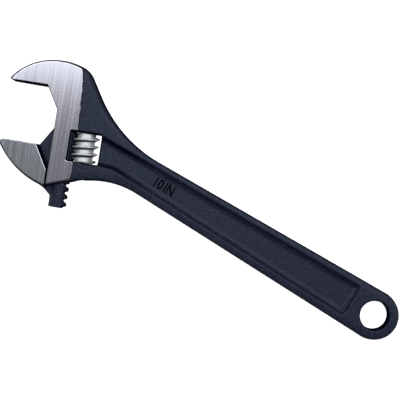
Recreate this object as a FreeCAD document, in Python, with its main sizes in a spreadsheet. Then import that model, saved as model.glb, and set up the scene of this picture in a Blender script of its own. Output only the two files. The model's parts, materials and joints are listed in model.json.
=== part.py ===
import FreeCAD, Part
import math
import os
import Sketcher

# Adjustable wrench, ten inch. Every body is drawn about the same datum: X = 0 at the throat wall,
# Y = 0 at the fixed jaw's gripping face, Z = 0 at mid-thickness. +Y is the closing direction and
# +X points towards the handle. The placements then stand the wrench on its underside, centred.

DIMENSIONS = (
    # alias, size in mm or degrees, what it is
    ("shift_x", -87.6, "datum to the middle of the box, X"),
    ("shift_y", 47.6, "datum to the middle of the box, Y"),
    ("half_thick", 7.95, "half the thickness over the ground faces"),
    ("draft", 7.0, "forging draft on each side of the parting line"),
    ("rough", 1.5, "stock left for the ground faces"),
    ("opening", 32.8, "gap between the jaws as drawn"),
    # head and fixed jaw
    ("crown_x", -12.14, "corner of the tangents to the top of the fixed jaw"),
    ("crown_y", 22.58, "the same, Y"),
    ("crown_r", 33.7, "radius of the top of the fixed jaw"),
    ("shoulder_x", 14.49, "corner between the top and the flank"),
    ("shoulder_y", 11.5, "the same, Y"),
    ("shoulder_r", 10.0, "its radius"),
    ("neck_x", 35.8, "corner between the flank and the handle's upper edge"),
    ("neck_r", 74.0, "its radius"),
    ("crown_angle", 51.3, "slope of the top of the fixed jaw at its tip"),
    ("tip_r", 1.5, "rounding of the fixed jaw's tip"),
    ("tip_clear", 0.8, "how far the tip's rounding cut stands off the jaw's outer side"),
    ("face_end_x", 7.2, "inner end of the gripping faces, left of the datum"),
    ("throat_y", 12.5, "depth of the throat's slope"),
    ("belly_y", 46.15, "bottom of the head under the knurl, below the datum"),
    ("belly_x", 37.5, "corner between the bottom of the head and the handle"),
    ("belly_r", 46.0, "its radius"),
    ("heel_x", 18.4, "bend in the bottom of the head"),
    ("heel_y", 49.0, "the same, below the datum"),
    ("foot_y", 55.2, "bottom of the throat wall, below the datum"),
    # handle
    ("hole_x", 190.3, "centre of the hang hole"),
    ("hole_y", -96.7, "the same, Y"),
    ("hole_r", 8.0, "hang hole"),
    ("hole_chamfer", 1.2, "chamfer on the hole's rims"),
    ("eye_r", 13.95, "hole to the handle's edges and end"),
    ("eye_corner_r", 13.75, "rounding of each corner of the end"),
    ("upper_slope", 20.8, "fall of the handle's upper edge"),
    ("lower_slope", 22.95, "fall of the handle's lower edge"),
    # thickness along the wrench
    ("crown_start", 14.0, "where the jaws begin to thin, left of the datum"),
    ("crown_fall", 16.0, "slope at the jaws' tips"),
    ("nose_r", 50.0, "radius of the thinning"),
    ("strip_x", 13.05, "right edge of the ground strip"),
    ("head_half", 7.4, "half thickness of the forged head"),
    ("blend_start", 34.0, "where the head begins to thin"),
    ("blend_end", 60.0, "where the handle's thickness is reached"),
    ("blend_r", 45.0, "radius of both bends between"),
    ("rim_half", 5.3, "half thickness of the handle's rims"),
    # recessed panel
    ("web_half", 3.2, "half thickness between the two panels"),
    ("panel_draft", 45.0, "slope of the panel's walls"),
    ("panel_inset_high", 5.5, "panel floor to the handle's upper edge"),
    ("panel_inset_low", 6.4, "panel floor to the handle's lower edge"),
    ("panel_stop", 16.5, "panel floor's end to the hole's centre"),
    ("panel_corner", 1.0, "corner radius of the panel floor"),
    ("panel_turn", 35.2, "bend in the floor's lower edge, right of the datum"),
    ("panel_heel", 1.9, "rise of that edge above the window's lower wall, beside the window"),
    ("panel_bend", 0.9, "rise of that edge above the window's lower wall, at its bend"),
    ("panel_bend_r", 12.0, "radius of its bend"),
    # knurl window, rack channel and slot
    ("window_left", 9.4, "left side of the knurl window"),
    ("window_right", 26.2, "right side"),
    ("window_top", 22.5, "top, below the datum"),
    ("window_bottom", 39.3, "bottom, below the datum"),
    ("bar_x", 7.4, "axis of the rack bar"),
    ("bar_r", 5.0, "rack bar"),
    ("channel_r", 5.2, "channel for the rack bar"),
    ("channel_top", 9.4, "blind end of the channel, above the datum"),
    ("slot_half", 2.95, "half width of the web's slot"),
    ("slot_left", 7.5, "left end of the slot's upper slope, left of the datum"),
    ("slot_shoulder", 0.9, "the same, above the datum"),
    ("slot_peak", 12.9, "top of the slot, above the datum"),
    ("slot_peak_width", 1.0, "width of its flat top"),
    ("slot_fall_x", 4.6, "foot of the slot's right slope, in the channel"),
    ("slot_fall_y", 9.0, "the same, above the datum"),
    # movable jaw
    ("lip_x", 19.58, "corner of the tangents to the jaw's lower side, left of the datum"),
    ("lip_y", 49.86, "the same, below the datum"),
    ("lip_r", 45.5, "its radius"),
    ("lip_slope", 55.0, "slope of the lower side near the tip"),
    ("lip_tip_r", 2.6, "rounding of the movable jaw's tip"),
    ("jaw_clear", 0.35, "gap between the jaw and the throat wall"),
    ("jaw_heel_y", 56.1, "lower right corner of the jaw, below the datum"),
    ("jaw_step_y", 45.4, "where the jaw's inner slope meets its straight side"),
    ("jaw_step_x", 7.7, "inner end of the movable gripping face"),
    ("web_half_thick", 2.75, "half thickness of the jaw's web"),
    ("web_root", 4.0, "how far the web is rooted in the jaw"),
    ("web_heel_x", 1.0, "lower end of the web's root, left of the datum"),
    ("web_heel_y", 56.5, "the same, below the datum"),
    ("web_foot_x", 3.0, "where the web's lower edge meets the bar"),
    ("web_foot_y", 60.0, "the same, below the datum"),
    ("web_top_x", 3.5, "where the web's upper edge meets the bar's top"),
    ("peak_x", 0.6, "top of the web"),
    ("peak_y", 20.3, "the same, below the datum"),
    ("bar_top", 23.5, "top of the rack bar, below the datum"),
    ("bar_bottom", 65.8, "bottom of the rack bar, below the datum"),
    # knurl and rack
    ("pitch", 4.2333, "thread pitch, six to the inch"),
    ("knurl_x", 17.65, "axis of the knurl"),
    ("knurl_top", 22.7, "top of the knurl, below the datum"),
    ("knurl_length", 16.4, "length of the knurl"),
    ("crest_r", 7.4, "over the thread's crest"),
    ("root_r", 4.95, "thread's root"),
    ("crest_width", 0.7, "width of the crest"),
    ("steep_flank", 10.0, "flank that pushes the jaw"),
    ("shallow_flank", 34.0, "the other flank"),
    ("lowest_crest", 37.75, "lowest crest on the handle's side, below the datum"),
    ("thread_start", -12.0, "angle where the thread starts, from the handle's side"),
    ("thread_turns", 3.35, "turns of thread"),
    ("thread_sink", 0.4, "depth of the thread's foot in the core"),
    ("rack_play", 0.15, "play on each flank of a rack tooth"),
    ("rack_root", 9.9, "bottom of the rack's grooves, right of the datum"),
    ("rack_grooves", 10, "number of grooves"),
    ("rack_start", 2.5, "pitches from the lowest crest up to the highest groove"),
    ("lead_angle", 5.7, "slant of the grooves"),
    # pin and spring
    ("pin_r", 1.6, "knurl pin"),
    ("pin_fit", 0.05, "running clearance of the knurl on its pin"),
    ("pin_hold", 0.02, "clearance of the pin in the head"),
    ("pin_top", 15.5, "upper end of the pin, below the datum"),
    ("pin_head_r", 2.2, "threaded end of the pin"),
    ("pin_head_top", 41.5, "upper end of the threaded end"),
    ("pin_bottom", 48.2, "slotted end of the pin"),
    ("pin_gap", 0.3, "gap above the pin and above its threaded end"),
    ("driver_slot", 0.8, "width and depth of the pin's slot"),
    ("spring_pocket_r", 2.9, "pocket for the spring in the knurl"),
    ("spring_pocket", 5.0, "depth of the pocket"),
    ("spring_r", 2.3, "spring, to the middle of its wire"),
    ("wire_r", 0.25, "spring wire"),
    ("wire_gap", 0.05, "gap at each end of the spring"),
    ("spring_turns", 4.0, "coils"),
)

BEYOND = 60.0   # reach of a cutter outside the body it trims
PAST = 1.0      # how far a cutter runs past a face that it meets

doc = FreeCAD.newDocument("adjustable_wrench")


def make_sheet():
    sheet = doc.addObject("Spreadsheet::Sheet", "Dims")
    for row, (alias, size, note) in enumerate(DIMENSIONS, start=1):
        sheet.set("A%d" % row, note)
        sheet.set("B%d" % row, str(size))
        sheet.setAlias("B%d" % row, alias)
    doc.recompute()
    return sheet


sheet = make_sheet()


def size(alias):
    return float(sheet.get(alias))


def new_body(label):
    """A part in its own body, standing on the wrench's underside."""
    body = doc.addObject("PartDesign::Body", label)
    body.Label = label
    body.setExpression("Placement.Base.x", "Dims.shift_x")
    body.setExpression("Placement.Base.y", "Dims.shift_y")
    body.setExpression("Placement.Base.z", "Dims.half_thick")
    return body


def origin_feature(body, role):
    return next(item for item in body.Origin.OriginFeatures if item.Role == role)


def new_sketch(body, name, plane="XY_Plane", height=None):
    """A sketch on one of the body's own planes, or parallel to it at a height formula."""
    sketch = body.newObject("Sketcher::SketchObject", name)
    sketch.AttachmentSupport = [(origin_feature(body, plane), "")]
    sketch.MapMode = "FlatFace"
    if height is not None:
        sketch.setExpression("AttachmentOffset.Base.z", height)
    return sketch


def number(formula):
    """The present value of a formula on the sheet."""
    found = sheet.evalExpression(formula)
    return float(getattr(found, "Value", found))


def bind(sketch, constraint, formula):
    """Adds a constraint whose size follows a formula."""
    index = sketch.addConstraint(constraint)
    sketch.setExpression("Constraints[%d]" % index, formula)


def bind_point(sketch, element, end, x, y):
    bind(sketch, Sketcher.Constraint("DistanceX", -1, 1, element, end, number(x)), x)
    bind(sketch, Sketcher.Constraint("DistanceY", -1, 1, element, end, number(y)), y)


def circle(sketch, x, y, radius):
    middle = FreeCAD.Vector(number(x), number(y), 0)
    ring = sketch.addGeometry(Part.Circle(middle, FreeCAD.Vector(0, 0, 1), number(radius)))
    bind(sketch, Sketcher.Constraint("Radius", ring, number(radius)), radius)
    bind_point(sketch, ring, 3, x, y)


def outline(sketch, corners):
    """A closed outline. A corner is (x, y) or (x, y, radius), each a formula on the sheet."""
    count = len(corners)
    points = [FreeCAD.Vector(number(c[0]), number(c[1]), 0) for c in corners]
    arrive, leave, rounding = [], [], []
    for i, corner in enumerate(corners):
        back = (points[i - 1] - points[i]).normalize()
        ahead = (points[(i + 1) % count] - points[i]).normalize()
        radius = number(corner[2]) if len(corner) > 2 else 0.0
        half = back.getAngle(ahead) / 2
        reach = radius / math.tan(half)
        arrive.append(points[i] + back * reach)
        leave.append(points[i] + ahead * reach)
        rounding.append(None)
        if radius:
            middle = points[i] + (back + ahead).normalize() * (radius / math.sin(half))
            rounding[i] = (middle, radius, back.cross(ahead).z < 0)
    sides = [sketch.addGeometry(Part.LineSegment(leave[i], arrive[(i + 1) % count]))
             for i in range(count)]
    for i, corner in enumerate(corners):
        before = sides[i - 1]
        after = sides[i]
        if rounding[i] is None:
            sketch.addConstraint(Sketcher.Constraint("Coincident", before, 2, after, 1))
            bind_point(sketch, after, 1, corner[0], corner[1])
            continue
        middle, radius, left_turn = rounding[i]
        first, last = (arrive[i], leave[i]) if left_turn else (leave[i], arrive[i])
        start = math.atan2(first.y - middle.y, first.x - middle.x)
        finish = math.atan2(last.y - middle.y, last.x - middle.x)
        ring = Part.Circle(middle, FreeCAD.Vector(0, 0, 1), radius)
        arc = sketch.addGeometry(Part.ArcOfCircle(ring, start, finish))
        sharp = sketch.addGeometry(Part.Point(points[i]), True)
        near, far = (1, 2) if left_turn else (2, 1)
        sketch.addConstraint(Sketcher.Constraint("PointOnObject", sharp, 1, before))
        sketch.addConstraint(Sketcher.Constraint("PointOnObject", sharp, 1, after))
        sketch.addConstraint(Sketcher.Constraint("Tangent", before, 2, arc, near))
        sketch.addConstraint(Sketcher.Constraint("Tangent", after, 1, arc, far))
        bind(sketch, Sketcher.Constraint("Radius", arc, radius), corner[2])
        bind_point(sketch, sharp, 1, corner[0], corner[1])


def feature(body, kind, name, **settings):
    """A PartDesign feature. A setting that starts with = is a formula on the sheet."""
    item = body.newObject("PartDesign::" + kind, name)
    for key, setting in settings.items():
        if isinstance(setting, str) and setting.startswith("="):
            item.setExpression(key, setting[1:])
        else:
            setattr(item, key, setting)
    body.Tip = item
    return item


def cut(body, kind, name, **settings):
    """A feature that has to take material away."""
    doc.recompute()
    before = body.Shape.Volume
    item = feature(body, kind, name, **settings)
    doc.recompute()
    if body.Shape.Volume > before - 0.01:
        raise RuntimeError(name + " removed nothing")
    return item


def edges_where(shape, test):
    return ["Edge%d" % (i + 1) for i, edge in enumerate(shape.Edges) if test(edge)]


def drafted_forging(body, profile):
    """The profile at the parting line, drawn out both ways with draft."""
    for name, reverse in (("forging_front", False), ("forging_back", True)):
        feature(body, "Pad", name, Profile=profile, Reversed=reverse,
                Length="=Dims.half_thick", TaperAngle="=-Dims.draft")
        doc.recompute()


def thin_noses(body):
    """Both faces of a jaw fall away towards its tip on a large radius."""
    profile = new_sketch(body, "nose_profile", "XZ_Plane")
    bend = "-(Dims.crown_start + Dims.nose_r * tan(Dims.crown_fall * 0.5deg))"
    end = "-(Dims.crown_start + %g)" % BEYOND
    low = "(Dims.half_thick - (%g - Dims.nose_r * tan(Dims.crown_fall * 0.5deg))" \
          " * tan(Dims.crown_fall * 1deg))" % BEYOND
    high = "(Dims.half_thick + %g)" % BEYOND
    for side in ("", "-"):
        outline(profile, (
            ("-Dims.crown_start + %g" % PAST, side + high),
            (end, side + high),
            (end, side + low),
            (bend, side + "Dims.half_thick", "Dims.nose_r"),
            ("-Dims.crown_start + %g" % PAST, side + "Dims.half_thick"),
        ))
    cut(body, "Pocket", "nose_cut", Profile=profile, SideType="Symmetric", Length=4 * BEYOND)


def edge_line(x, slope_name, side):
    """Height of the handle's upper (side 1) or lower (side -1) edge at x, as a formula."""
    slope = "(Dims.%s * 1deg)" % slope_name
    return ("(Dims.hole_y + %d * Dims.eye_r / cos(%s) - (%s - Dims.hole_x) * tan(%s))"
            % (side, slope, x, slope))


def forging_outline(body):
    """Head, fixed jaw and handle at the parting line, with stock left in the mouth."""
    sketch = new_sketch(body, "forging_outline")
    tip_x = "(Dims.crown_x - (Dims.crown_y + Dims.rough) / tan(Dims.crown_angle * 1deg))"
    far = "(Dims.hole_x + Dims.eye_r)"
    foot_slope = "(Dims.foot_y - Dims.heel_y) / Dims.heel_x"
    # the eye at the end of the handle is two rounded corners that meet on the far side
    outline(sketch, (
        (tip_x, "-Dims.rough"),
        ("-Dims.rough", "-Dims.foot_y - Dims.rough * " + foot_slope),
        ("Dims.heel_x", "-Dims.heel_y"),
        ("Dims.belly_x", "-Dims.belly_y", "Dims.belly_r"),
        (far, edge_line(far, "lower_slope", -1), "Dims.eye_corner_r"),
        (far, edge_line(far, "upper_slope", 1), "Dims.eye_corner_r"),
        ("Dims.neck_x", edge_line("Dims.neck_x", "upper_slope", 1), "Dims.neck_r"),
        ("Dims.shoulder_x", "Dims.shoulder_y", "Dims.shoulder_r"),
        ("Dims.crown_x", "Dims.crown_y", "Dims.crown_r"),
    ))
    return sketch


def cut_mouth(body):
    """The ground gripping face, throat slope and throat wall, square to the faces."""
    sketch = new_sketch(body, "mouth_outline")
    slope = "(Dims.crown_angle * 1deg)"
    outline(sketch, (
        ("-Dims.face_end_x", "0"),
        ("0", "-Dims.throat_y"),
        ("0", "-%g - Dims.foot_y" % BEYOND),
        ("-%g" % BEYOND, "-%g - Dims.foot_y" % BEYOND),
        ("-%g" % BEYOND, "Dims.crown_y"),
        ("Dims.crown_x - Dims.tip_clear", "Dims.crown_y"),
        ("(Dims.crown_x - Dims.crown_y / tan%s)" % slope, "0", "Dims.tip_r"),
    ))
    cut(body, "Pocket", "mouth", Profile=sketch, SideType="Symmetric", Length=2 * BEYOND)


def thin_handle(body):
    """Both faces step down beside the ground strip and fall to the handle's rims."""
    profile = new_sketch(body, "handle_profile", "XZ_Plane")
    far = "(Dims.hole_x + %g)" % BEYOND
    high = "(Dims.half_thick + %g)" % BEYOND
    for side in ("", "-"):
        outline(profile, (
            ("Dims.strip_x", side + high),
            ("Dims.strip_x", side + "Dims.head_half"),
            ("Dims.blend_start", side + "Dims.head_half", "Dims.blend_r"),
            ("Dims.blend_end", side + "Dims.rim_half", "Dims.blend_r"),
            (far, side + "Dims.rim_half"),
            (far, side + high),
        ))
    cut(body, "Pocket", "handle_cut", Profile=profile, SideType="Symmetric", Length=6 * BEYOND)


def panel_corners():
    """The panel's floor: inside the handle's edges, from the knurl window to short of the eye."""
    start = "(Dims.window_right - %g)" % PAST
    mean = "((Dims.upper_slope + Dims.lower_slope) * 0.5deg)"
    upper_in = "Dims.panel_inset_high / cos(Dims.upper_slope * 1deg)"
    lower_in = "Dims.panel_inset_low / cos(Dims.lower_slope * 1deg)"
    stop_x = "(Dims.hole_x - Dims.panel_stop * cos(%s))" % mean
    top_x = "(%s + (Dims.eye_r - Dims.panel_inset_high) * sin(%s))" % (stop_x, mean)
    low_x = "(%s - (Dims.eye_r - Dims.panel_inset_low) * sin(%s))" % (stop_x, mean)
    return (
        (start, edge_line(start, "upper_slope", 1) + " - " + upper_in),
        (start, "-Dims.window_bottom + Dims.panel_heel"),
        ("Dims.panel_turn", "-Dims.window_bottom + Dims.panel_bend", "Dims.panel_bend_r"),
        (low_x, edge_line(low_x, "lower_slope", -1) + " + " + lower_in, "Dims.panel_corner"),
        (top_x, edge_line(top_x, "upper_slope", 1) + " - " + upper_in, "Dims.panel_corner"),
    )


def cut_panels(body):
    """A recessed panel on both faces of the handle, its walls sloping outwards."""
    for name, height, upwards in (("front", "Dims.web_half", True), ("back", "-Dims.web_half", False)):
        floor = new_sketch(body, "panel_floor_" + name, height=height)
        outline(floor, panel_corners())
        cut(body, "Pocket", "panel_" + name, Profile=floor, Reversed=upwards,
            Length="=Dims.half_thick - Dims.web_half", TaperAngle="=Dims.panel_draft")


def cut_window(body):
    sketch = new_sketch(body, "window_outline")
    outline(sketch, (
        ("Dims.window_left", "-Dims.window_top"),
        ("Dims.window_left", "-Dims.window_bottom"),
        ("Dims.window_right", "-Dims.window_bottom"),
        ("Dims.window_right", "-Dims.window_top"),
    ))
    cut(body, "Pocket", "window", Profile=sketch, SideType="Symmetric", Length=2 * BEYOND)


def cut_channel(body):
    """The slot that the jaw's web runs in and the round rack channel, both open below."""
    sketch = new_sketch(body, "slot_outline")
    below = "-Dims.foot_y - %g" % BEYOND
    outline(sketch, (
        ("-Dims.slot_left", "Dims.slot_shoulder"),
        ("-Dims.slot_left", below),
        ("Dims.bar_x", below),
        ("Dims.bar_x", "Dims.channel_top - %g" % PAST),
        ("Dims.slot_fall_x", "Dims.slot_fall_y"),
        ("Dims.slot_peak_width", "Dims.slot_peak"),
        ("0", "Dims.slot_peak"),
    ))
    cut(body, "Pocket", "slot", Profile=sketch, SideType="Symmetric", Length="=2 * Dims.slot_half")
    ring = new_sketch(body, "channel_circle", "XZ_Plane", "-Dims.channel_top")
    circle(ring, "Dims.bar_x", "0", "Dims.channel_r")
    cut(body, "Pocket", "channel", Profile=ring, Reversed=True,
        Length="=Dims.channel_top + Dims.foot_y + %g" % BEYOND)


def bore_head(body):
    """The knurl pin's bore: its threaded end's bore below the window, a blind hole above."""
    small = new_sketch(body, "pin_bore_circle", "XZ_Plane", "Dims.pin_top - Dims.pin_gap")
    circle(small, "Dims.knurl_x", "0", "Dims.pin_r + Dims.pin_hold")
    cut(body, "Pocket", "pin_bore", Profile=small, Reversed=True,
        Length="=Dims.pin_head_top - Dims.pin_top + Dims.pin_gap")
    large = new_sketch(body, "pin_head_circle", "XZ_Plane", "Dims.pin_head_top - Dims.pin_gap")
    circle(large, "Dims.knurl_x", "0", "Dims.pin_head_r + Dims.pin_hold")
    cut(body, "Pocket", "pin_head_bore", Profile=large, Reversed=True, Length=BEYOND)


def hang_hole(body):
    sketch = new_sketch(body, "hang_hole_circle")
    circle(sketch, "Dims.hole_x", "Dims.hole_y", "Dims.hole_r")
    hole = cut(body, "Pocket", "hang_hole", Profile=sketch, SideType="Symmetric", Length=2 * BEYOND)

    def on_rim(edge):
        ring = edge.Curve
        return isinstance(ring, Part.Circle) and abs(ring.Radius - size("hole_r")) < 0.01
    rims = edges_where(body.Shape, on_rim)
    cut(body, "Chamfer", "hole_rims", Base=(hole, rims), Size="=Dims.hole_chamfer")


def make_wrench_body():
    body = new_body("wrench_body")
    drafted_forging(body, forging_outline(body))
    cut_mouth(body)
    thin_noses(body)
    thin_handle(body)
    cut_panels(body)
    cut_window(body)
    cut_channel(body)
    bore_head(body)
    hang_hole(body)
    return body


def jaw_outline(body):
    """The jaw at the parting line, with stock above its gripping face."""
    sketch = new_sketch(body, "jaw_outline")
    top = "(-Dims.opening + Dims.rough)"
    slope = "(Dims.lip_slope * 1deg)"
    outline(sketch, (
        ("(-Dims.lip_x - (%s + Dims.lip_y) / tan%s)" % (top, slope), top),
        ("-Dims.lip_x", "-Dims.lip_y", "Dims.lip_r"),
        ("-Dims.jaw_clear", "-Dims.jaw_heel_y"),
        ("-Dims.jaw_clear", "-Dims.jaw_step_y"),
        ("-Dims.jaw_step_x", "-Dims.opening"),
        ("-Dims.jaw_step_x", top),
    ))
    return sketch


def grind_jaw(body):
    """The gripping face, square to the faces, with the rounding at its tip."""
    sketch = new_sketch(body, "jaw_face_outline")
    slope = "(Dims.lip_slope * 1deg)"
    face = "-Dims.opening"
    outline(sketch, (
        ("-Dims.jaw_step_x + %g" % PAST, face),
        ("-Dims.jaw_step_x + %g" % PAST, "0"),
        ("-%g" % BEYOND, "0"),
        ("-%g" % BEYOND, "-Dims.lip_y"),
        ("-Dims.lip_x - Dims.tip_clear", "-Dims.lip_y"),
        ("(-Dims.lip_x - (%s + Dims.lip_y) / tan%s)" % (face, slope), face, "Dims.lip_tip_r"),
    ))
    cut(body, "Pocket", "jaw_face", Profile=sketch, SideType="Symmetric", Length=2 * BEYOND)


def add_web_and_bar(body):
    """The web that runs in the slot and the round bar that carries the rack."""
    web = new_sketch(body, "web_outline")
    outline(web, (
        ("-Dims.face_end_x - Dims.web_root", "-Dims.opening"),
        ("-Dims.face_end_x - Dims.web_root", "-Dims.jaw_step_y"),
        ("-Dims.web_heel_x", "-Dims.web_heel_y"),
        ("Dims.web_foot_x", "-Dims.web_foot_y"),
        ("Dims.bar_x", "-Dims.web_foot_y"),
        ("Dims.bar_x", "-Dims.bar_top"),
        ("Dims.web_top_x", "-Dims.bar_top"),
        ("Dims.peak_x", "-Dims.peak_y"),
        ("-Dims.face_end_x", "-Dims.opening"),
    ))
    feature(body, "Pad", "web", Profile=web, SideType="Symmetric", Length="=2 * Dims.web_half_thick")
    ring = new_sketch(body, "bar_circle", "XZ_Plane", "Dims.bar_top")
    circle(ring, "Dims.bar_x", "0", "Dims.bar_r")
    feature(body, "Pad", "rack_bar", Profile=ring, Length="=Dims.bar_bottom - Dims.bar_top")
    doc.recompute()


def cut_rack(body):
    """One slanted groove shaped to the knurl's thread, repeated down the bar."""
    sketch = new_sketch(body, "groove_profile")
    sketch.AttachmentOffset = FreeCAD.Placement(
        FreeCAD.Vector(), FreeCAD.Rotation(FreeCAD.Vector(1, 0, 0), -size("lead_angle")))
    # heights at mid-thickness, seen along the slanted plane
    across = " * cos(Dims.lead_angle * 1deg)"
    crest = "(-Dims.lowest_crest + Dims.rack_start * Dims.pitch)"
    top_edge = "(%s + Dims.crest_width / 2 + Dims.rack_play)" % crest
    low_edge = "(%s - Dims.crest_width / 2 - Dims.rack_play)" % crest
    crest_x = "(Dims.knurl_x - Dims.crest_r)"
    root_x = "Dims.rack_root"
    out_x = "(Dims.bar_x + Dims.bar_r + %g)" % PAST

    def flank(edge, x, sign, angle):
        return "(%s %s (%s - %s) * tan(Dims.%s * 1deg))%s" % (edge, sign, x, crest_x, angle, across)
    outline(sketch, (
        (root_x, flank(top_edge, root_x, "+", "steep_flank")),
        (root_x, flank(low_edge, root_x, "-", "shallow_flank")),
        (out_x, flank(low_edge, out_x, "-", "shallow_flank")),
        (out_x, flank(top_edge, out_x, "+", "steep_flank")),
    ))
    groove = cut(body, "Pocket", "groove", Profile=sketch, SideType="Symmetric", Length=2 * BEYOND)
    feature(body, "LinearPattern", "rack", Originals=[groove],
            Direction=(origin_feature(body, "Y_Axis"), [""]), Reversed=True,
            Length="=(Dims.rack_grooves - 1) * Dims.pitch", Occurrences="=Dims.rack_grooves")


def make_movable_jaw():
    body = new_body("movable_jaw")
    drafted_forging(body, jaw_outline(body))
    grind_jaw(body)
    thin_noses(body)
    add_web_and_bar(body)
    cut_rack(body)
    return body


def make_knurl():
    """The adjusting worm, drawn about its own axis, with a bore and a pocket for the spring."""
    body = new_body("knurl")
    body.setExpression("Placement.Base.x", "Dims.shift_x + Dims.knurl_x")
    core = new_sketch(body, "core_profile")
    top = "-Dims.knurl_top"
    bottom = "(-Dims.knurl_top - Dims.knurl_length)"
    bore = "(Dims.pin_r + Dims.pin_fit)"
    pocket = "(%s + Dims.spring_pocket)" % bottom
    outline(core, (
        (bore, top),
        (bore, pocket),
        ("Dims.spring_pocket_r", pocket),
        ("Dims.spring_pocket_r", bottom),
        ("Dims.root_r", bottom),
        ("Dims.root_r", top),
    ))
    feature(body, "Revolution", "core", Profile=core, ReferenceAxis=(core, ["V_Axis"]), Angle=360)
    doc.recompute()
    thread = new_sketch(body, "thread_profile")
    crest = "(-Dims.lowest_crest + Dims.pitch * Dims.thread_start / 360)"
    sunk = "(Dims.root_r - Dims.thread_sink)"
    reach = "(Dims.crest_r - %s)" % sunk
    outline(thread, (
        (sunk, crest + " + Dims.crest_width / 2 + %s * tan(Dims.steep_flank * 1deg)" % reach),
        (sunk, crest + " - Dims.crest_width / 2 - %s * tan(Dims.shallow_flank * 1deg)" % reach),
        ("Dims.crest_r", crest + " - Dims.crest_width / 2"),
        ("Dims.crest_r", crest + " + Dims.crest_width / 2"),
    ))
    feature(body, "AdditiveHelix", "thread", Profile=thread, ReferenceAxis=(thread, ["V_Axis"]),
            Mode="pitch-turns-angle", Pitch="=Dims.pitch", Turns="=Dims.thread_turns")
    # the thread's lower end is faced off flush with the core
    face = new_sketch(body, "lower_face", "XZ_Plane", "Dims.knurl_top + Dims.knurl_length")
    circle(face, "0", "0", "Dims.crest_r + %g" % PAST)
    cut(body, "Pocket", "faced_end", Profile=face, Reversed=True, Length=BEYOND)
    spin = FreeCAD.Rotation(FreeCAD.Vector(0, 1, 0), size("thread_start"))
    body.Placement = FreeCAD.Placement(body.Placement.Base, spin)
    return body


def make_knurl_pin():
    """The pin, threaded at its lower end, with a slot for a driver."""
    body = new_body("knurl_pin")
    body.setExpression("Placement.Base.x", "Dims.shift_x + Dims.knurl_x")
    half = new_sketch(body, "pin_profile")
    outline(half, (
        ("0", "-Dims.pin_top"),
        ("0", "-Dims.pin_bottom"),
        ("Dims.pin_head_r", "-Dims.pin_bottom"),
        ("Dims.pin_head_r", "-Dims.pin_head_top"),
        ("Dims.pin_r", "-Dims.pin_head_top"),
        ("Dims.pin_r", "-Dims.pin_top"),
    ))
    feature(body, "Revolution", "pin", Profile=half, ReferenceAxis=(half, ["V_Axis"]), Angle=360)
    slot = new_sketch(body, "driver_slot")
    outline(slot, (
        ("-Dims.driver_slot / 2", "-Dims.pin_bottom + Dims.driver_slot"),
        ("-Dims.driver_slot / 2", "-Dims.pin_bottom - %g" % PAST),
        ("Dims.driver_slot / 2", "-Dims.pin_bottom - %g" % PAST),
        ("Dims.driver_slot / 2", "-Dims.pin_bottom + Dims.driver_slot"),
    ))
    cut(body, "Pocket", "slot", Profile=slot, SideType="Symmetric", Length=BEYOND)
    return body


def make_knurl_spring():
    """The compression spring between the knurl's pocket and the window's lower wall."""
    body = new_body("knurl_spring")
    body.setExpression("Placement.Base.x", "Dims.shift_x + Dims.knurl_x")
    wire = new_sketch(body, "wire_circle")
    lowest = "(-Dims.window_bottom + Dims.wire_r + Dims.wire_gap)"
    circle(wire, "Dims.spring_r", lowest, "Dims.wire_r")
    rise = "(Dims.window_bottom - Dims.knurl_top - Dims.knurl_length + Dims.spring_pocket)"
    feature(body, "AdditiveHelix", "coil", Profile=wire, ReferenceAxis=(wire, ["V_Axis"]),
            Mode="height-turns-angle", Turns="=Dims.spring_turns",
            Height="=%s - 2 * Dims.wire_r - 2 * Dims.wire_gap" % rise)
    return body


parts = (
    make_wrench_body(),
    make_movable_jaw(),
    make_knurl(),
    make_knurl_pin(),
    make_knurl_spring(),
)
doc.recompute()

for item in doc.Objects:
    if "Invalid" in item.State or "Error" in item.State:
        raise RuntimeError("%s failed: %s" % (item.Label, item.State))
os.makedirs("parts", exist_ok=True)
for part in parts:
    if part.Shape.isNull() or not part.Shape.isValid():
        raise RuntimeError(part.Label + " has no valid shape")
    if len(part.Shape.Solids) != 1:
        raise RuntimeError("%s is %d solids" % (part.Label, len(part.Shape.Solids)))
    part.Shape.exportStep("parts/%s.step" % part.Label)
    box = part.Shape.BoundBox
    print("%-14s %8.0f mm3  X %.2f..%.2f  Y %.2f..%.2f  Z %.2f..%.2f"
          % (part.Label, part.Shape.Volume, box.XMin, box.XMax, box.YMin, box.YMax, box.ZMin, box.ZMax))
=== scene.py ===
import json
import math

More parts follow.
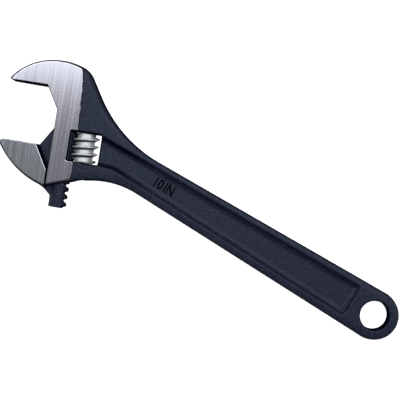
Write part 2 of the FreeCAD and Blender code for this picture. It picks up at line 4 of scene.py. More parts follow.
import bmesh
import bpy
import numpy as np
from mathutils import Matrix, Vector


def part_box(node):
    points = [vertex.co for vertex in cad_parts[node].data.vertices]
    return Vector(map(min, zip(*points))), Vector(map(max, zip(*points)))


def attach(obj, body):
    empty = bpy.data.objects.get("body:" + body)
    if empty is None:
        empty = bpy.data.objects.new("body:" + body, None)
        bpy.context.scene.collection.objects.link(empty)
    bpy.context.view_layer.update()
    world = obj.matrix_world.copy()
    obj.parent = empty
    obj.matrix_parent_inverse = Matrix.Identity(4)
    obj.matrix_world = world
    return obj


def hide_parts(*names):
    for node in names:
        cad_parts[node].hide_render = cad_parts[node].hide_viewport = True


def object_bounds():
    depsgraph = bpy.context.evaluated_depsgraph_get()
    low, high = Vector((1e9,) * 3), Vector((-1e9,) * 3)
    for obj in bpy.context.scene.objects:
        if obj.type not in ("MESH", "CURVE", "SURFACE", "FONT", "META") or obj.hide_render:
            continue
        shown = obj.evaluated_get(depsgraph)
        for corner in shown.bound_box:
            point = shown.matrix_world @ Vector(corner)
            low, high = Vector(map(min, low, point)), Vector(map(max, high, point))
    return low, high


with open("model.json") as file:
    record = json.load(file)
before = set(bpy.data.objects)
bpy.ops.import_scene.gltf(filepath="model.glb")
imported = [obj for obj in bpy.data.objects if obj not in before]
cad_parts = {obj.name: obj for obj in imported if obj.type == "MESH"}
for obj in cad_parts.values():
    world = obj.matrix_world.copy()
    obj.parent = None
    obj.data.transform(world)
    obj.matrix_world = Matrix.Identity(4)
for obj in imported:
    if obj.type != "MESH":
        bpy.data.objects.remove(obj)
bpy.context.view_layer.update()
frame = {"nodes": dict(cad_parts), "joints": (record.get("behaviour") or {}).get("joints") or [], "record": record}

# Shapes are worked out in millimetres about the wrench's own datum: U = 0 at the throat wall,
# V = 0 at the fixed jaw's gripping face, W = 0 at mid-thickness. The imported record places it.
MM = 0.001
mounts = {mount["name"]: mount["pos_m"] for mount in frame["record"]["mounts"]}
spin = next(joint for joint in frame["joints"] if joint["name"] == "knurl_spin")
KNURL_U = 17.65
DATUM = np.array([spin["pos_m"][0] - KNURL_U * MM, mounts["fixed_jaw_face"][1], spin["pos_m"][2]])


def place(points):
    """Design millimetres to metres in the frame."""
    return np.asarray(points, float) * MM + DATUM


def mount_mm(name):
    """A mount's position in design millimetres."""
    return (np.array(mounts[name]) - DATUM) / MM


OPENING = -mount_mm("movable_jaw_face")[1]
HOLE_U, HOLE_V = mount_mm("hang_hole")[:2]

# head and handle; the half thicknesses are of the ground faces, the forged head, the handle's
# rims and the web between the panels
HALF_THICK = 7.95
HEAD_HALF = 7.4
RIM_HALF = 5.3
WEB_HALF = 3.2
CROWN_FALL = 0.35
THINS_FROM = 34.0
THINS_TO = 62.0
DRAFT = math.radians(7.0)
EYE_R = 13.95
HOLE_R = 8.0
UPPER_SLOPE = math.radians(20.8)
LOWER_SLOPE = math.radians(22.95)
PANEL_INSET_HIGH = 5.8
PANEL_INSET_NECK = 5.0
PANEL_INSET_LOW = 6.4
PANEL_STOP = 16.5
PANEL_CORNER = 0.5
STRIP_U = 13.05
THROAT_LIP = -7.2
WINDOW = (9.4, 26.2, -39.3, -22.5)
WINDOW_CORNER = 0.3
# the pin's bore: the wide part below its step, then the narrow part up to its blind end
BORE_WIDE_R = 2.22
BORE_STEP = -41.3
BORE_R = 1.62
BORE_END = -15.2
# rack, channel and thread
BAR_U = 7.4
BAR_R = 5.0
CHANNEL_R = 5.2
CHANNEL_TOP = 10.3
SLOT_HALF = 2.95
WEB_HALF_THICK = 2.75
BAR_TOP = -22.7
WEB_TOP = -23.5
BAR_BOTTOM = -65.8
STEP_TOP = -7.35
STEP_ANGLE = math.radians(30)
PITCH = 4.2333
CREST_R = 7.4
ROOT_R = 5.2
CREST_WIDTH = 0.7
STEEP = math.radians(10.0)
SHALLOW = math.radians(34.0)
LOWEST_CREST = -37.75
KNURL_TOP = -22.7
KNURL_BOTTOM = -39.1
KNURL_BORE_R = 1.65
KNURL_BORE_CHAMFER = 0.2
KNURL_CHAMFER = 0.5
POCKET_R = 2.9
POCKET_DEPTH = 5.0
THREAD_START = -12 / 360
THREAD_TURNS = 3.4
RACK_PLAY = 0.1
RACK_ROOT = 9.9
LEAD = math.radians(5.7)
# mesh grid steps
BODY_STEP = 0.53
JAW_STEP = 0.36
# looks
BODY_TINT = (0.52, 0.525, 0.605)
JAW_TINT = (0.53, 0.57, 0.63)
MARK_SIZE = 8.2
MARK_AT = (64.2, -45.2)
# stage: metres and watts, but the camera's place is in design millimetres
FLOOR_REACH = 6.0
FLOOR_GAP = 0.0002
LIGHT_X = 0.05
LIGHT_HEIGHT = 1.0
LIGHT_LENGTH = 2.5
ROOM_STRENGTH = 0.08
CAMERA_AT = (85.2, -49.1, 582.0)
CAMERA_VIEW = math.radians(21.6)
CAMERA_TURN = math.radians(9.15)


# ---------------------------------------------------------------- plane outlines

def handle_edge(u, side):
    """V of the handle's upper (1) or lower (-1) edge at u."""
    slope = UPPER_SLOPE if side > 0 else LOWER_SLOPE
    return HOLE_V + side * EYE_R / math.cos(slope) - (u - HOLE_U) * math.tan(slope)


def rounded(corners, step=math.radians(4)):
    """Points along a closed outline whose corners are (u, v) or (u, v, radius)."""
    points = []
    sharp = [np.array(corner[:2], float) for corner in corners]
    for i, corner in enumerate(corners):
        here = sharp[i]
        back = sharp[i - 1] - here
        ahead = sharp[(i + 1) % len(sharp)] - here
        back /= np.linalg.norm(back)
        ahead /= np.linalg.norm(ahead)
        radius = corner[2] if len(corner) > 2 else 0.0
        if not radius:
            points.append(here)
            continue
        half = math.acos(np.clip(back @ ahead, -1, 1)) / 2
        middle = here + (back + ahead) / np.linalg.norm(back + ahead) * radius / math.sin(half)
        first = here + back * radius / math.tan(half) - middle
        turn = math.pi - 2 * half
        if back[0] * ahead[1] - back[1] * ahead[0] > 0:
            turn = -turn
        for k in range(int(abs(turn) / step) + 2):
            angle = turn * k / (int(abs(turn) / step) + 1)
            c, s = math.cos(angle), math.sin(angle)
            points.append(middle + np.array([c * first[0] - s * first[1], s * first[0] + c * first[1]]))
    return np.array(points)


def signed_distance(points, u, v):
    """Distance to a closed outline, negative inside."""
    nearest = np.full(np.broadcast(u, v).shape, 1e9)
    inside = np.zeros(nearest.shape, bool)
    for a, b in zip(points, np.roll(points, -1, axis=0)):
        run = b - a
        du, dv = u - a[0], v - a[1]
        along = np.clip((du * run[0] + dv * run[1]) / max(run @ run, 1e-12), 0, 1)
        gap = (du - along * run[0]) ** 2 + (dv - along * run[1]) ** 2
        nearest = np.minimum(nearest, gap)
        if run[1]:
            crosses = (a[1] > v) != (b[1] > v)
            inside ^= crosses & (u < a[0] + (v - a[1]) * run[0] / run[1])
    return np.where(inside, -1.0, 1.0) * np.sqrt(nearest)


class Plan:
    """An outline's signed distance, held on a fine plane grid and read between its points."""

    def __init__(self, corners, step=0.25, margin=6.0):
        points = rounded(corners)
        self.step = step
        self.low = points.min(0) - margin
        count = np.ceil((points.max(0) + margin - self.low) / step).astype(int) + 2
        u = self.low[0] + step * np.arange(count[0])
        v = self.low[1] + step * np.arange(count[1])
        self.grid = signed_distance(points, u[:, None], v[None, :])

    def __call__(self, u, v):
        a = np.clip((u - self.low[0]) / self.step, 0, self.grid.shape[0] - 1.001)
        b = np.clip((v - self.low[1]) / self.step, 0, self.grid.shape[1] - 1.001)
        a, b = np.broadcast_arrays(a, b)
        i, j = a.astype(int), b.astype(int)
        s, t = a - i, b - j
        g = self.grid
        return ((g[i, j] * (1 - s) + g[i + 1, j] * s) * (1 - t)
                + (g[i, j + 1] * (1 - s) + g[i + 1, j + 1] * s) * t)


# ---------------------------------------------------------------- solid fields, negative inside

def meet(a, b, radius):
    """Both solids at once, with the edge between them rounded."""
    corner = np.sqrt(np.maximum(a + radius, 0) ** 2 + np.maximum(b + radius, 0) ** 2)
    return np.minimum(np.maximum(a, b), -radius) + corner


def join(a, b, radius):
    """Either solid, with a fillet in the corner between them."""
    return -meet(-a, -b, radius)


def smooth_step(x, low, high):
    """0 at low to 1 at high, level at both ends."""
    t = np.clip((x - low) / (high - low), 0, 1)
    return t * t * (3 - 2 * t)


def nose_fall(u, start=-14.0, radius=50.0):
    """How far a jaw's face lies below the ground faces near its tip."""
    over = np.maximum(start - u, 0)
    return radius - np.sqrt(radius ** 2 - np.minimum(over, 20.0) ** 2)


far = HOLE_U + EYE_R
CROWN = [(1.1, 17.07, 34.0), (-21.09, 11.4, 34.0)]
FORGING = Plan([
    (-31.43, -1.5), (-1.5, -55.8), (18.4, -49.0, 14.0), (37.5, -46.15, 46.0),
    (far, handle_edge(far, -1), 13.85), (far, handle_edge(far, 1), 13.85),
    (35.8, handle_edge(35.8, 1), 74.0), (14.49, 11.5, 13.0)] + CROWN)
MOUTH = Plan([
    (THROAT_LIP, 0.0), (0.0, -12.5), (0.0, -80.0), (-45.0, -80.0), (-45.0, 11.4),
    (-21.6, 11.4), (-30.22, 0.0, 1.5)])
# the ground zone's right edge: straight beside the strip, leaning left over the fixed jaw
GROUND = Plan([
    (STRIP_U, -70.0), (STRIP_U, -21.0, 80.0), (12.0, 0.5, 40.0), (10.7, 11.6, 3.5),
    (-19.2, 24.0), (-45.0, 24.0), (-45.0, -70.0)])


def panel_plan():
    """The recessed panel, from the window's right wall to a square end short of the eye."""
    mean = (UPPER_SLOPE + LOWER_SLOPE) / 2
    stop_u = HOLE_U - PANEL_STOP * math.cos(mean)
    upper = PANEL_INSET_HIGH / math.cos(UPPER_SLOPE)
    neck = PANEL_INSET_NECK / math.cos(UPPER_SLOPE)
    lower = PANEL_INSET_LOW / math.cos(LOWER_SLOPE)
    top_u = stop_u + (EYE_R - PANEL_INSET_HIGH) * math.sin(mean)
    low_u = stop_u - (EYE_R - PANEL_INSET_LOW) * math.sin(mean)
    start = WINDOW[1] - 0.5
    return Plan([
        (start, handle_edge(start, 1) - neck), (start, -37.4), (36.0, -38.4, 14.0),
        (low_u, handle_edge(low_u, -1) + lower, PANEL_CORNER),
        (top_u, handle_edge(top_u, 1) - upper, PANEL_CORNER)])


PANEL = panel_plan()
WINDOW_PLAN = Plan([
    (WINDOW[0], WINDOW[3], WINDOW_CORNER), (WINDOW[0], WINDOW[2], WINDOW_CORNER),
    (WINDOW[1], WINDOW[2], WINDOW_CORNER), (WINDOW[1], WINDOW[3], WINDOW_CORNER)])
SLOT = Plan([
    (-7.5, 0.9), (-7.5, -75.0), (BAR_U, -75.0), (BAR_U, 8.4),
    (4.6, 9.0), (1.0, 12.9), (0.0, 12.9)])


def ground_depth(u, v):
    """Distance inside the ground zone of the head's faces, in plan."""
    return -GROUND(u, v)


def body_field(u, v, w):
    """The forging: handle, head and fixed jaw."""
    rise = np.abs(w)
    side = (FORGING(u, v) + rise * math.tan(DRAFT)) * math.cos(DRAFT)
    ground = smooth_step(ground_depth(u, v), -0.35, 0.1)
    # the head thins to the handle's rims on a slant
    thins = smooth_step(u - 0.35 * (v + 40), THINS_FROM, THINS_TO)
    head = HEAD_HALF + (RIM_HALF - HEAD_HALF) * thins
    # the forged face falls away a little towards the outline
    crown = CROWN_FALL * smooth_step(-FORGING(u, v), 5.0, 0.0)
    half = head - crown + (HALF_THICK - head + crown) * ground - nose_fall(u) * ground
    # the forging's edge is softest round the shoulder
    edge = 1.1 + 1.1 * smooth_step(v, -25.0, 0.0) * smooth_step(u, 11.0, 16.0)
    solid = meet(side, rise - half, edge)
    # the panel's walls keep one width in plan, so they are steeper where the rims are higher
    wall = (RIM_HALF - WEB_HALF) / (head - WEB_HALF)
    flare = (PANEL(u, v) - (rise - WEB_HALF) * wall) / np.hypot(1, wall)
    panel = meet(flare, WEB_HALF - rise, 1.3)
    solid = meet(solid, -panel, 0.45)
    eye = HOLE_R - np.hypot(u - HOLE_U, v - HOLE_V)
    solid = meet(solid, eye, 1.3)
    solid = meet(solid, -MOUTH(u, v), 0.3)
    solid = meet(solid, -WINDOW_PLAN(u, v), 0.55)
    channel = np.maximum(np.hypot(u - BAR_U, w) - CHANNEL_R, v - CHANNEL_TOP)
    solid = meet(solid, -channel, 0.3)
    slot = np.maximum(SLOT(u, v), rise - SLOT_HALF)
    solid = meet(solid, -slot, 0.3)
    reach = np.hypot(u - KNURL_U, w)
    wide = np.maximum(reach - BORE_WIDE_R, v - BORE_STEP)
    narrow = np.maximum(reach - BORE_R, v - BORE_END)
    return meet(solid, -np.minimum(wide, narrow), 0.25)


JAW = Plan([
    (-32.58, -31.3), (-19.58, -49.86, 45.5), (1.5, -56.7), (1.5, -45.4), (-6.2, -31.3)])
JAW_FACE = Plan([
    (5.0, -OPENING), (5.0, 5.0), (-45.0, 5.0), (-45.0, -49.86), (-20.2, -49.86),
    (-31.0, -OPENING, 2.4)])
WEB = Plan([
    (-11.0, -OPENING), (-11.0, -50.0), (-1.0, -56.5, 4.0), (BAR_U - BAR_R + 0.6, -60.0),
    (BAR_U, -60.0), (BAR_U, WEB_TOP), (3.5, WEB_TOP, 1.0), (0.6, -20.3, 0.8), (THROAT_LIP, -OPENING)])


def rack_groove(u, v, w):
    """The grooves between the rack's teeth: negative inside a groove."""
    first = LOWEST_CREST + 2.5 * PITCH
    run = v - first - w * math.tan(LEAD)
    run = run - PITCH * np.minimum(np.round(run / PITCH + 0.1), 0)
    depth = u - (KNURL_U - CREST_R)
    half = CREST_WIDTH / 2 + RACK_PLAY
    upper = (run - half - depth * math.tan(STEEP)) * math.cos(STEEP)
    lower = (-run - half - depth * math.tan(SHALLOW)) * math.cos(SHALLOW)
    return meet(meet(upper, lower, 0.1), RACK_ROOT - u, 0.6)


def jaw_step(u, v):
    """Distance past the edge where the jaw's ground face drops to the web, in plan."""
    return (u - STEP_TOP) * math.cos(STEP_ANGLE) + (v + OPENING) * math.sin(STEP_ANGLE)


def jaw_field(u, v, w):
    """The movable jaw with its web and rack bar."""
    rise = np.abs(w)
    side = (JAW(u, v) + rise * math.tan(DRAFT)) * math.cos(DRAFT)
    face = rise - (HALF_THICK - nose_fall(u))
    head = meet(side, face, 0.8)
    # the step from the ground face down to the web leans back from the throat
    lean = 0.17 * np.maximum(rise - WEB_HALF_THICK, 0)
    head = meet(head, jaw_step(u, v) + lean, 0.5)
    head = meet(head, u + 0.4 + 0.03 * rise, 0.4)
    head = meet(head, -JAW_FACE(u, v), 0.3)
    web = meet(WEB(u, v), rise - WEB_HALF_THICK, 0.4)
    bar = meet(np.hypot(u - BAR_U, w) - BAR_R, np.maximum(v - BAR_TOP, BAR_BOTTOM - v), 0.4)
    bar = meet(bar, -rack_groove(u, v, w), 0.25)
    solid = join(join(head, web, 0.7), bar, 0.5)
    # the fillet between head and web stays below the gripping face
    return np.maximum(solid, np.minimum(v + OPENING, THROAT_LIP - u))


# ---------------------------------------------------------------- fields to meshes

def gradient(field, points, step=0.05):
    """The field's slope at each point, from small steps both ways."""
    u, v, w = points.T
    slopes = [field(u + a, v + b, w + c) - field(u - a, v - b, w - c)
              for a, b, c in np.eye(3) * step]
    return np.stack(slopes, axis=1) / (2 * step)


def outward(field, points):
    """The unit direction out of a field's solid at each point."""
    slope = gradient(field, points)
    return slope / np.maximum(np.linalg.norm(slope, axis=1), 1e-9)[:, None]


def settle(field, points, rounds=3):
    """Moves points onto the field's surface."""
    for _ in range(rounds):
        slope = gradient(field, points)
        value = field(*points.T)
        size = np.maximum((slope ** 2).sum(1), 0.05)
        points = points - slope * np.clip(value / size, -0.4, 0.4)[:, None]
    return points


def surface(field, low, high, step):
    """A closed quad mesh of a field's surface, one vertex in each grid cell that it crosses."""
    axes = [np.arange(a - 2 * step, b + 2.5 * step, step) for a, b in zip(low, high)]
    grid = np.concatenate([
        field(axes[0][i:i + 32, None, None], axes[1][None, :, None], axes[2][None, None, :])
        for i in range(0, len(axes[0]), 32)], axis=0)
    inside = grid < 0
    count = np.zeros(np.array(grid.shape) - 1, np.int8)
    centre = np.zeros(count.shape + (3,), np.float32)
    for axis in range(3):
        ends = [slice(None)] * 3
        starts = [slice(None)] * 3
        starts[axis], ends[axis] = slice(0, -1), slice(1, None)
        a, b = grid[tuple(starts)], grid[tuple(ends)]
        crossed = (a < 0) != (b < 0)
        share = np.where(crossed, a / np.where(crossed, a - b, 1), 0)
        others = [k for k in range(3) if k != axis]
        for first in (0, 1):
            for second in (0, 1):
                window = [slice(None)] * 3
                window[others[0]] = slice(first, first + count.shape[others[0]])
                window[others[1]] = slice(second, second + count.shape[others[1]])
                here = crossed[tuple(window)]
                count += here
                centre[..., axis] += np.where(here, share[tuple(window)], 0)
                centre[..., others[0]] += here * first
                centre[..., others[1]] += here * second
    used = count > 0
    index = np.full(count.shape, -1, np.int64)
    index[used] = np.arange(used.sum())
    cell = np.argwhere(used)
    points = np.stack([axes[k][0] + step * (cell[:, k] + centre[used][:, k] / count[used])
                       for k in range(3)], axis=1)
    faces = []
    for axis in range(3):
        others = [k for k in range(3) if k != axis]
        core = [slice(1, -1)] * 3
        core[axis] = slice(0, -1)
        after = list(core)
        after[axis] = slice(1, None)
        a, b = inside[tuple(core)], inside[tuple(after)]
        edge = np.argwhere(a != b)
        flip = a[tuple(edge.T)]
        edge[:, others[0]] += 1
        edge[:, others[1]] += 1
        ring = []
        for first, second in ((0, 0), (1, 0), (1, 1), (0, 1)):
            at = edge.copy()
            at[:, others[0]] -= first
            at[:, others[1]] -= second
            ring.append(index[tuple(at.T)])
        quads = np.stack(ring, axis=1)
        backwards = flip if axis == 1 else ~flip
        quads[backwards] = quads[backwards][:, ::-1]
        faces.append(quads)
    return settle(field, points), np.concatenate(faces)


def design_points(mesh):
    """A mesh's vertices in design millimetres."""
    co = np.zeros(len(mesh.vertices) * 3)
    mesh.vertices.foreach_get("co", co)
    return (co.reshape(-1, 3) - DATUM) / MM


def mesh_object(name, points, faces, field=None):
    """An object from design-frame points and faces, with normals taken from its field."""
    mesh = bpy.data.meshes.new(name)
    mesh.from_pydata(place(points), [], [list(map(int, face)) for face in faces])
    mesh.validate()
    piece = bpy.data.objects.new(name, mesh)
    bpy.context.scene.collection.objects.link(piece)
    if field is not None:
        normals = outward(field, design_points(mesh))
        mesh.shade_smooth()
        mesh.normals_split_custom_set_from_vertices(normals.tolist())
    return piece


def paint(piece, name, values):
    """Keeps one number for each vertex under a name that materials read."""
    layer = piece.data.attributes.new(name, "FLOAT", "POINT")
    layer.data.foreach_set("value", np.asarray(values, np.float32))


# ---------------------------------------------------------------- materials

class Nodes:
    """Short calls for one material's node tree."""

    def __init__(self, name):
        self.material = bpy.data.materials.new(name)
        self.material.use_nodes = True
        self.tree = self.material.node_tree
        self.shader = self.tree.nodes["Principled BSDF"]

    def add(self, kind, inputs=None, **settings):
        node = self.tree.nodes.new("ShaderNode" + kind)
        for key, setting in settings.items():
            setattr(node, key, setting)
        for key, source in (inputs or {}).items():
            self.feed(node.inputs[key], source)
        return node

    def feed(self, socket, source):
        if isinstance(source, bpy.types.NodeSocket):
            self.tree.links.new(source, socket)
        else:
            socket.default_value = source

    def coordinates(self, stretch=(1, 1, 1)):
        place_node = self.add("TexCoord")
        scale = self.add("Mapping", {"Vector": place_node.outputs["Object"], "Scale": stretch})
        return scale.outputs["Vector"]

    def noise(self, scale, stretch=(1, 1, 1), detail=4.0, roughness=0.55):
        node = self.add("TexNoise", {"Vector": self.coordinates(stretch), "Scale": scale,
                                     "Detail": detail, "Roughness": roughness})
        return node.outputs["Fac"]

    def ramp(self, source, low, high, to_low=0.0, to_high=1.0):
        node = self.add("MapRange", {"Value": source, "From Min": low, "From Max": high,
                                     "To Min": to_low, "To Max": to_high})
        return node.outputs["Result"]

    def math(self, operation, a, b):
        return self.add("Math", {0: a, 1: b}, operation=operation).outputs[0]

    def mix(self, share, a, b):
        """Blends two numbers."""
        node = self.add("Mix", data_type="FLOAT")
        self.feed(node.inputs[0], share)
        self.feed(node.inputs[2], a)
        self.feed(node.inputs[3], b)
        return node.outputs[0]

    def blend(self, share, a, b):
        """Blends two colours."""
        node = self.add("Mix", data_type="RGBA")
        self.feed(node.inputs[0], share)
        self.feed(node.inputs[6], a)
        self.feed(node.inputs[7], b)
        return node.outputs[2]

    def attribute(self, name):
        return self.add("Attribute", attribute_name=name).outputs["Fac"]

    def bump(self, height, strength, distance):
        node = self.add("Bump", {"Height": height, "Strength": strength, "Distance": distance})
        return node.outputs["Normal"]


def oxide_and_steel(name, tint):
    """Black-oxide forging whose ground zones, where the mesh says so, are brushed steel."""
    n = Nodes(name)
    ground = n.ramp(n.attribute("ground"), -0.12, 0.12)
    facing = n.ramp(n.attribute("facing"), 0.55, 0.97)
    hollow_shade = n.attribute("hollow_shade")
    edge = n.attribute("edge")
    # forged skin: a blue-black film over forging grain, with a fine sparkle
    cloud = n.noise(45.0, detail=3.0)
    grain = n.noise(900.0, detail=3.0, roughness=0.7)
    speck = n.noise(2600.0, detail=1.0)
    dark = n.blend(cloud, (0.0075, 0.0105, 0.026, 1), (0.011, 0.015, 0.034, 1))
    dark = n.blend(n.ramp(grain, 0.45, 0.75, 0.0, 0.8), dark, (0.040, 0.050, 0.095, 1))
    # convex edges lighter in specks: edge wear together with a painted highlight along the forging's edges
    edge_wear_and_highlight = n.math("MULTIPLY", edge, n.ramp(speck, 0.4, 0.7))
    dark = n.blend(edge_wear_and_highlight, dark, (0.026, 0.031, 0.05, 1))
    # painted shade: hollows and the band round the window darken towards black
    dark = n.blend(n.math("MULTIPLY", hollow_shade, 0.75), dark, (0.001, 0.0015, 0.004, 1))
    # painted shade: steep walls, turned away from facing up or down, go near black
    wall_shade = n.ramp(n.attribute("facing"), 0.15, 0.75, 0.85, 0.0)
    dark = n.blend(wall_shade, dark, (0.001, 0.001, 0.002, 1))
    # ground steel: long fine grinding lines along the slide, a few of them deeper
    brush = (1.0, 0.003, 1.0)
    fine = n.noise(1250.0, brush, detail=2.0, roughness=0.6)
    broad = n.noise(420.0, brush, detail=2.0)
    pale = tuple(tint) + (1,)
    dull = tuple(0.84 * part for part in tint) + (1,)
    dim = tuple(0.88 * part for part in tint) + (1,)
    steel = n.blend(n.ramp(fine, 0.42, 0.58), dull, pale)
    steel = n.blend(n.ramp(broad, 0.4, 0.65, 0.0, 0.2), steel, dim)
    n.feed(n.shader.inputs["Base Color"], n.blend(ground, dark, steel))
    n.feed(n.shader.inputs["Metallic"], ground)
    # the specular level also falls on steep walls and in hollows, as painted shade
    sheen = n.math("MULTIPLY", facing, n.math("SUBTRACT", 1.0, hollow_shade))
    sheen = n.math("MULTIPLY", sheen, n.ramp(grain, 0.3, 0.7, 0.32, 0.55))
    n.feed(n.shader.inputs["Specular IOR Level"], n.mix(ground, sheen, 0.5))
    n.shader.inputs["Specular Tint"].default_value = (0.64, 0.73, 1.0, 1)
    skin_rough = n.ramp(grain, 0.3, 0.7, 0.42, 0.55)
    steel_rough = n.ramp(fine, 0.3, 0.7, 0.15, 0.21)
    n.feed(n.shader.inputs["Roughness"], n.mix(ground, skin_rough, steel_rough))
    height = n.mix(ground, n.mix(0.3, grain, speck), fine)
    n.feed(n.shader.inputs["Normal"], n.bump(height, n.mix(ground, 0.9, 0.08), 0.0001))
    return n.material


def plated(name):
    """Bright plated steel of the knurl, satin and a little milky, with painted shade on the thread's flanks."""
    n = Nodes(name)
    lines = n.noise(900.0, (0.15, 3.0, 0.15), detail=3.0)
    haze = n.noise(300.0, detail=3.0)
    # painted shade: the thread's flanks darken towards near black
    flank_shade = n.ramp(n.attribute("depth"), 0.0, 1.0, 0.0, 0.85)
    shade = n.blend(n.ramp(haze, 0.3, 0.7), (0.82, 0.86, 0.90, 1), (0.94, 0.97, 1.0, 1))
    n.feed(n.shader.inputs["Base Color"], n.blend(flank_shade, shade, (0.02, 0.022, 0.03, 1)))
    n.shader.inputs["Metallic"].default_value = 0.5
    n.feed(n.shader.inputs["Roughness"], n.ramp(lines, 0.3, 0.7, 0.30, 0.40))
    return n.material


def plain_steel(name, colour, roughness):
    """Turned or drawn steel of the small parts."""
    n = Nodes(name)
    lines = n.noise(800.0, (0.3, 3.0, 0.3), detail=3.0)
    darker = tuple(0.6 * part for part in colour) + (1,)
    n.feed(n.shader.inputs["Base Color"], n.blend(lines, darker, colour + (1,)))
    n.shader.inputs["Metallic"].default_value = 1.0
    n.feed(n.shader.inputs["Roughness"], n.ramp(lines, 0.3, 0.7, roughness, roughness + 0.15))
    return n.material


def mark_black(name):
    """The size mark's dull black, painted shade standing in for the shade inside stamped letters."""
    n = Nodes(name)
    grain = n.noise(1500.0, detail=2.0)
    shade = n.blend(grain, (0.001, 0.001, 0.002, 1), (0.002, 0.002, 0.004, 1))
    n.feed(n.shader.inputs["Base Color"], shade)
    n.shader.inputs["Roughness"].default_value = 0.6
    n.shader.inputs["Specular IOR Level"].default_value = 0.03
    return n.material


def paper(name):
    """The plain pale floor."""
    n = Nodes(name)
    tone = n.noise(3.0, detail=2.0)
    shade = n.blend(tone, (0.93, 0.93, 0.93, 1), (0.96, 0.96, 0.96, 1))
    n.feed(n.shader.inputs["Base Color"], shade)
    n.shader.inputs["Roughness"].default_value = 0.9
    n.shader.inputs["Emission Color"].default_value = (1, 1, 1, 1)
    n.shader.inputs["Emission Strength"].default_value = 1.0
    return n.material


# ---------------------------------------------------------------- pieces

def paint_form(piece, field, window_shade=0.0, reach=1.2):
    """Keeps where a surface faces up or down, stands out as an edge, and where painted shade goes: in hollows and
    in the given band.
    """
    points = design_points(piece.data)
    normals = outward(field, points)
    behind = points - normals * reach
    before = points + normals * reach
    paint(piece, "facing", np.abs(normals[:, 2]))
    paint(piece, "edge", np.clip((reach + field(*behind.T)) / (0.35 * reach), 0, 1))
    # painted shade in creases and recesses, where a step outwards still lies near the solid
    hollow_shade = np.clip((reach - field(*before.T)) / (0.35 * reach), 0, 1)
    paint(piece, "hollow_shade", np.maximum(hollow_shade, window_shade))


def field_object(name, node, field, step):
    """The mesh of a field inside its CAD node's box."""
    low, high = [np.array(corner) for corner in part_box(node)]
    points, faces = surface(field, (low - DATUM) / MM, (high - DATUM) / MM, step)
    return mesh_object(name, points, faces, field)


def build_body():
    """The forging: bright where its face is ground, with painted shade round the window."""
    piece = field_object("forged_body", "wrench_body", body_field, BODY_STEP)
    points = design_points(piece.data)
    u, v, w = points.T
    flat = np.abs(outward(body_field, points)[:, 2])
    zone = np.minimum(ground_depth(u, v), (flat - 0.75) * 4)
    window = WINDOW_PLAN(u, v)
    inner = np.where((window < 0.25) | (np.abs(w) < SLOT_HALF + 0.2), -2.0, zone)
    paint(piece, "ground", np.clip(inner, -2, 2))
    # a band of painted shade within about 0.9 mm of the window's outline
    paint_form(piece, body_field, np.clip((0.9 - np.abs(window)) / 0.4, 0, 1))
    piece.data.materials.append(oxide_and_steel("oxide_body", BODY_TINT))
    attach(piece, "head")
    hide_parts("wrench_body")


def build_jaw():
    """The sliding jaw: bright on its ground faces, black on the web and the rack bar."""
    piece = field_object("sliding_jaw", "movable_jaw", jaw_field, JAW_STEP)
    points = design_points(piece.data)
    u, v, w = points.T
    flat = np.abs(outward(jaw_field, points)[:, 2])
    face = np.minimum((flat - 0.91) * 8, np.minimum(np.abs(w) - 4.6, -u))
    paint(piece, "ground", np.clip(np.minimum(face, -1.0 - jaw_step(u, v)), -2, 2))
    paint_form(piece, jaw_field)
    piece.data.materials.append(oxide_and_steel("oxide_jaw", JAW_TINT))
    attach(piece, "jaw")
    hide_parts("movable_jaw")


def thread_radius(angle, v):
    """Radius of the knurl's surface at an angle from the handle's side, up the V axis."""
    thread_end = THREAD_START + THREAD_TURNS
    lead = v - LOWEST_CREST - PITCH * angle / (2 * math.pi)
    turn = np.round(lead / PITCH)
    reach = turn + angle / (2 * math.pi)
    off = lead - turn * PITCH
    best = np.full(np.broadcast(angle, v).shape, -9.0)
    for extra in (-1, 0, 1):
        gap = off - extra * PITCH
        rise = np.where(gap > 0, -(gap - CREST_WIDTH / 2) / math.tan(STEEP),
                        (gap + CREST_WIDTH / 2) / math.tan(SHALLOW))
        at = reach + extra
        fade = smooth_step(at, THREAD_START - 0.02, THREAD_START + 0.10)
        fade = fade * (1 - smooth_step(at, thread_end - 0.10, thread_end + 0.02))
        best = np.maximum(best, np.minimum(rise, 0) - 4 * (1 - fade))
    return ROOT_R + np.clip(CREST_R - ROOT_R + best, 0, CREST_R - ROOT_R)


def knurl_rings(angles, along=330):
    """(radii, height) of each ring: down the bore and the pocket, then up the thread and in."""
    around = len(angles)
    pocket_top = KNURL_BOTTOM + POCKET_DEPTH
    inside = ((KNURL_BORE_R, KNURL_TOP - KNURL_BORE_CHAMFER), (KNURL_BORE_R, pocket_top),
              (POCKET_R, pocket_top), (POCKET_R, KNURL_BOTTOM))
    rings = [(np.full(around, radius), v) for radius, v in inside]
    for v in np.linspace(KNURL_BOTTOM, KNURL_TOP, along):
        end_gap = min(v - KNURL_BOTTOM, KNURL_TOP - v)
        rings.append((thread_radius(angles, v) - max(KNURL_CHAMFER - end_gap, 0), v))
    rings.append((np.full(around, KNURL_BORE_R + KNURL_BORE_CHAMFER), KNURL_TOP))
    return rings


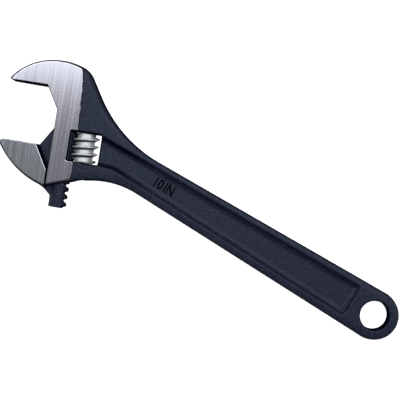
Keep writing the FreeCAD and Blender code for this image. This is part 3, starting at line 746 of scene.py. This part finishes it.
def build_knurl(around=288):
    """A lathe-like mesh: the thread outside, the bore and spring pocket inside."""
    angles = np.arange(around) * 2 * math.pi / around
    rings = knurl_rings(angles)
    points = np.concatenate([
        np.stack([KNURL_U + radius * np.cos(angles), np.full(around, v), -radius * np.sin(angles)],
                 axis=1)
        for radius, v in rings])
    faces = []
    for i in range(len(rings)):
        here = i * around
        above = (i + 1) % len(rings) * around
        for k in range(around):
            after = (k + 1) % around
            faces.append((here + k, above + k, above + after, here + after))
    piece = mesh_object("knurled_worm", points, faces)
    tidy_normals(piece)
    # painted shade darkens the thread's flanks
    points = design_points(piece.data)
    radius = np.hypot(points[:, 0] - KNURL_U, points[:, 2])
    flank = np.minimum((radius - ROOT_R - 0.15) / 0.3, (CREST_R - 0.15 - radius) / 0.3)
    paint(piece, "depth", np.clip(flank, 0, 1))
    piece.data.materials.append(plated("plated_worm"))
    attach(piece, "knurl")
    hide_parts("knurl")


def tidy_normals(piece):
    """Faces outwards, smooth but for real corners."""
    work = bmesh.new()
    work.from_mesh(piece.data)
    bmesh.ops.recalc_face_normals(work, faces=work.faces)
    work.to_mesh(piece.data)
    work.free()
    piece.data.shade_smooth()
    piece.data.set_sharp_from_angle(angle=math.radians(38))


def build_size_mark():
    """The nominal size, standing a little proud of the panel's floor."""
    text = bpy.data.curves.new("size_text", "FONT")
    text.body = "10 IN"
    text.size = MARK_SIZE * MM
    text.extrude = 0.12 * MM
    text.offset = 0.16 * MM
    text.space_word = 0.5
    text.align_x = "CENTER"
    text.align_y = "CENTER"
    lettering = bpy.data.objects.new("size_mark", text)
    bpy.context.scene.collection.objects.link(lettering)
    lettering.location = place((*MARK_AT, WEB_HALF + 0.05))
    lettering.rotation_euler = (0, 0, -(UPPER_SLOPE + LOWER_SLOPE) / 2)
    lettering.scale = (0.74, 1.0, 1.0)
    # the letters' near black is painted shade of stamped strokes
    text.materials.append(mark_black("mark_painted_shade"))
    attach(lettering, "head")


def dress_small_parts():
    """The pin and the spring keep their CAD shapes."""
    for node, colour, roughness in (("knurl_pin", (0.30, 0.30, 0.31), 0.35),
                                    ("knurl_spring", (0.45, 0.45, 0.46), 0.25)):
        mesh = frame["nodes"][node].data
        mesh.materials.clear()
        mesh.materials.append(plain_steel(node + "_steel", colour, roughness))


# ---------------------------------------------------------------- stage

def build_stage():
    """A wide pale floor just under the wrench."""
    mesh = bpy.data.meshes.new("floor")
    corners = [(FLOOR_REACH * a, FLOOR_REACH * b, 0) for a, b in ((-1, -1), (1, -1), (1, 1), (-1, 1))]
    mesh.from_pydata(corners, [], [(0, 1, 2, 3)])
    floor = bpy.data.objects.new("floor", mesh)
    bpy.context.scene.collection.objects.link(floor)
    floor.location.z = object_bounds()[0][2] - FLOOR_GAP
    mesh.materials.append(paper("paper"))


def softbox(name, y, width, power):
    """A long rectangular light that faces straight down."""
    data = bpy.data.lights.new(name, "AREA")
    data.shape = "RECTANGLE"
    data.size = LIGHT_LENGTH
    data.size_y = width
    data.energy = power
    light = bpy.data.objects.new(name, data)
    bpy.context.scene.collection.objects.link(light)
    light.location = (LIGHT_X, y, LIGHT_HEIGHT)


def build_lights():
    """One long softbox overhead, a brighter one beyond the fixed jaw, and a dim room."""
    softbox("overhead", y=-0.135, width=0.57, power=0.8)
    softbox("key", y=0.455, width=0.63, power=12.6)
    world = bpy.data.worlds.new("studio")
    world.use_nodes = True
    room = world.node_tree.nodes["Background"]
    room.inputs["Color"].default_value = (1, 1, 1, 1)
    room.inputs["Strength"].default_value = ROOM_STRENGTH
    bpy.context.scene.world = world
    bpy.context.scene.view_settings.view_transform = "Standard"


def build_camera():
    """Straight above the wrench, turned so that the handle falls to the lower right."""
    data = bpy.data.cameras.new("camera")
    data.angle = CAMERA_VIEW
    data.clip_start = 0.01
    camera = bpy.data.objects.new("camera", data)
    bpy.context.scene.collection.objects.link(camera)
    camera.location = place(CAMERA_AT)
    camera.rotation_euler = (0, 0, CAMERA_TURN)
    bpy.context.scene.camera = camera


build_camera()
build_lights()
build_body()
build_jaw()
build_knurl()
build_size_mark()
dress_small_parts()
build_stage()
